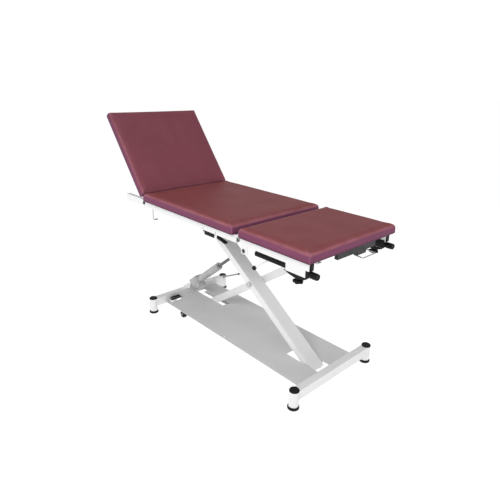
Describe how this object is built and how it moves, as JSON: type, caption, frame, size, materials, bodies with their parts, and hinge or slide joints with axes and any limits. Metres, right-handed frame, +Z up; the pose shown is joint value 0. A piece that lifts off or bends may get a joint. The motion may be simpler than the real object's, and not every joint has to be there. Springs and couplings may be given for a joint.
{
  "type": "examination couch",
  "caption": "Height-adjustable examination couch: scissor lift with motor drive, raised back section, lifting leg section, upholstered pads and pedal-lowered transport wheels.",
  "frame": {"origin": "centre of the bounding box at floor level, in the rest pose of the picture (back section raised)", "axes": "+X towards the foot end, +Y towards the side away from the release levers, +Z up"},
  "size_m": [1.731, 0.65, 1.2465],
  "materials": {
    "white_paint": "satin",
    "cover_paint": "satin",
    "grey_paint": "satin",
    "grey_casting": "satin",
    "bright_steel": "satin",
    "dark_steel": "satin",
    "black_paint": "satin",
    "black_plastic": "satin",
    "black_rubber": "matte",
    "vinyl": "satin"
  },
  "bodies": {
    "base": {"base_crossbar_foot": "white_paint", "base_crossbar_head": "white_paint", "foot_post_foot_far": "white_paint", "foot_post_foot_near": "white_paint", "foot_post_head_far": "white_paint", "foot_post_head_near": "white_paint", "foot_cap_foot_far": "black_plastic", "foot_cap_foot_near": "black_plastic", "foot_cap_head_far": "black_plastic", "foot_cap_head_near": "black_plastic", "foot_pad_foot_far": "black_rubber", "foot_pad_foot_near": "black_rubber", "foot_pad_head_far": "black_rubber", "foot_pad_head_near": "black_rubber", "base_rail_near": "grey_paint", "base_rail_far": "grey_paint", "base_cover": "cover_paint", "lower_pivot_pin": "bright_steel"},
    "transport_pedal": {"transport_shaft": "bright_steel", "transport_lever_near": "black_paint", "transport_lever_far": "black_paint"},
    "transport_wheel_near": {"transport_wheel_near": "black_rubber"},
    "transport_wheel_far": {"transport_wheel_far": "black_rubber"},
    "side_pedal": {"side_pedal": "grey_paint"},
    "arm_a": {"scissor_arm_a": "white_paint", "scissor_pin": "bright_steel"},
    "upper_rollers": {"upper_rollers": "bright_steel"},
    "arm_b": {"scissor_arm_b": "white_paint"},
    "lower_rollers": {"lower_rollers": "bright_steel"},
    "seat_frame": {"upper_pivot_pin": "bright_steel", "seat_channel_near": "white_paint", "seat_channel_far": "white_paint", "seat_crossbar_head": "white_paint", "seat_crossbar_foot": "white_paint", "seat_rail_near": "white_paint", "seat_rail_far": "white_paint", "back_hinge_rod": "dark_steel", "leg_hinge_rod": "bright_steel", "seat_pad": "vinyl", "roll_hook": "bright_steel"},
    "back_release_lever": {"back_release_lever": "black_plastic"},
    "back_section": {"back_tube_near": "white_paint", "back_tube_far": "white_paint", "back_pad": "vinyl"},
    "leg_section": {"leg_rail_near": "white_paint", "leg_rail_far": "white_paint", "rod_clamp_near": "black_paint", "rod_clamp_far": "black_paint", "rod_sleeve_near": "black_rubber", "rod_sleeve_far": "black_rubber", "leg_pad": "vinyl", "foot_bar": "dark_steel"},
    "support_rod_near": {"support_rod_near": "black_paint"},
    "support_rod_far": {"support_rod_far": "black_paint"},
    "star_knob_near": {"star_knob_near": "black_plastic"},
    "star_knob_far": {"star_knob_far": "black_plastic"},
    "foot_bail": {"foot_bail": "bright_steel"},
    "leg_release_lever": {"leg_release_lever": "white_paint"},
    "actuator_body": {"actuator_body": "grey_casting"},
    "actuator_rod": {"actuator_rod": "bright_steel"}
  },
  "joints": [
    {"name": "lift", "type": "hinge", "parent": "base", "child": "arm_a", "pos_m": [0.65669, 0, 0.042], "axis": [0, 1, 0], "range_deg": [-15.25, 4.45]},
    {"name": "scissor_cross", "type": "hinge", "parent": "arm_a", "child": "arm_b", "pos_m": [0.1934, 0, 0.36101], "axis": [0, 1, 0], "range_deg": [-9, 30.6]},
    {"name": "seat_level", "type": "hinge", "parent": "arm_b", "child": "seat_frame", "pos_m": [0.65669, 0, 0.68002], "axis": [0, 1, 0], "range_deg": [-15.3, 4.5]},
    {"name": "actuator_swing", "type": "hinge", "parent": "base", "child": "actuator_body", "pos_m": [-0.41651, -0.01, 0.133], "axis": [0, 1, 0], "range_deg": [-3.6, 12.1]},
    {"name": "actuator_extend", "type": "slide", "parent": "actuator_body", "child": "actuator_rod", "axis": [0.7828, 0, 0.6223], "range_m": [-0.182, 0.0535]},
    {"name": "upper_roller_spin", "type": "hinge", "parent": "arm_a", "child": "upper_rollers", "pos_m": [-0.26989, 0, 0.68002], "axis": [0, 1, 0], "continuous": true},
    {"name": "lower_roller_spin", "type": "hinge", "parent": "arm_b", "child": "lower_rollers", "pos_m": [-0.26989, 0, 0.042], "axis": [0, 1, 0], "continuous": true},
    {"name": "back_tilt", "type": "hinge", "parent": "seat_frame", "child": "back_section", "pos_m": [-0.49151, 0, 0.737], "axis": [0, 1, 0], "range_deg": [-51.3, 2.5]},
    {"name": "leg_raise", "type": "hinge", "parent": "seat_frame", "child": "leg_section", "pos_m": [0.37299, 0, 0.752], "axis": [0, -1, 0], "range_deg": [0, 40]},
    {"name": "back_release", "type": "hinge", "parent": "seat_frame", "child": "back_release_lever", "pos_m": [0.19949, -0.2875, 0.7], "axis": [0, -1, 0], "range_deg": [0, 10], "stiffness_Nm_per_rad": 0.5, "springref_deg": -8.59},
    {"name": "leg_release", "type": "hinge", "parent": "leg_section", "child": "leg_release_lever", "pos_m": [0.61749, -0.267, 0.726], "axis": [0, 1, 0], "range_deg": [0, 12], "stiffness_Nm_per_rad": 0.6, "springref_deg": -8.59},
    {"name": "support_rod_near_slide", "type": "slide", "parent": "leg_section", "child": "support_rod_near", "axis": [1, 0, 0], "range_m": [0, 0.12]},
    {"name": "support_rod_far_slide", "type": "slide", "parent": "leg_section", "child": "support_rod_far", "axis": [1, 0, 0], "range_m": [0, 0.12]},
    {"name": "star_knob_near_turn", "type": "hinge", "parent": "leg_section", "child": "star_knob_near", "pos_m": [0.74849, -0.2875, 0.65], "axis": [0, 0, 1], "continuous": true},
    {"name": "star_knob_far_turn", "type": "hinge", "parent": "leg_section", "child": "star_knob_far", "pos_m": [0.74849, 0.2875, 0.65], "axis": [0, 0, 1], "continuous": true},
    {"name": "foot_bail_swing", "type": "hinge", "parent": "leg_section", "child": "foot_bail", "pos_m": [0.81249, 0.065, 0.714], "axis": [0, -1, 0], "range_deg": [0, 30]},
    {"name": "transport_press", "type": "hinge", "parent": "base", "child": "transport_pedal", "pos_m": [-0.17651, 0, 0.036], "axis": [0, -1, 0], "range_deg": [0, 3.4], "stiffness_Nm_per_rad": 25, "springref_deg": -5.73},
    {"name": "wheel_near_spin", "type": "hinge", "parent": "transport_pedal", "child": "transport_wheel_near", "pos_m": [-0.27151, -0.19, 0.029], "axis": [0, 1, 0], "continuous": true},
    {"name": "wheel_far_spin", "type": "hinge", "parent": "transport_pedal", "child": "transport_wheel_far", "pos_m": [-0.27151, 0.19, 0.029], "axis": [0, 1, 0], "continuous": true},
    {"name": "side_pedal_press", "type": "hinge", "parent": "base", "child": "side_pedal", "pos_m": [-0.42651, 0.268, 0.105], "axis": [0, 1, 0], "range_deg": [0, 25], "stiffness_Nm_per_rad": 3, "springref_deg": -8.59}
  ],
  "couplings": [
    {"joint": "scissor_cross", "follows": "lift", "ratio": -2},
    {"joint": "seat_level", "follows": "lift", "ratio": 1},
    {"joint": "actuator_swing", "follows": "lift", "ratio": -0.785},
    {"joint": "actuator_extend", "follows": "lift", "m_per_rad": 0.68}
  ]
}
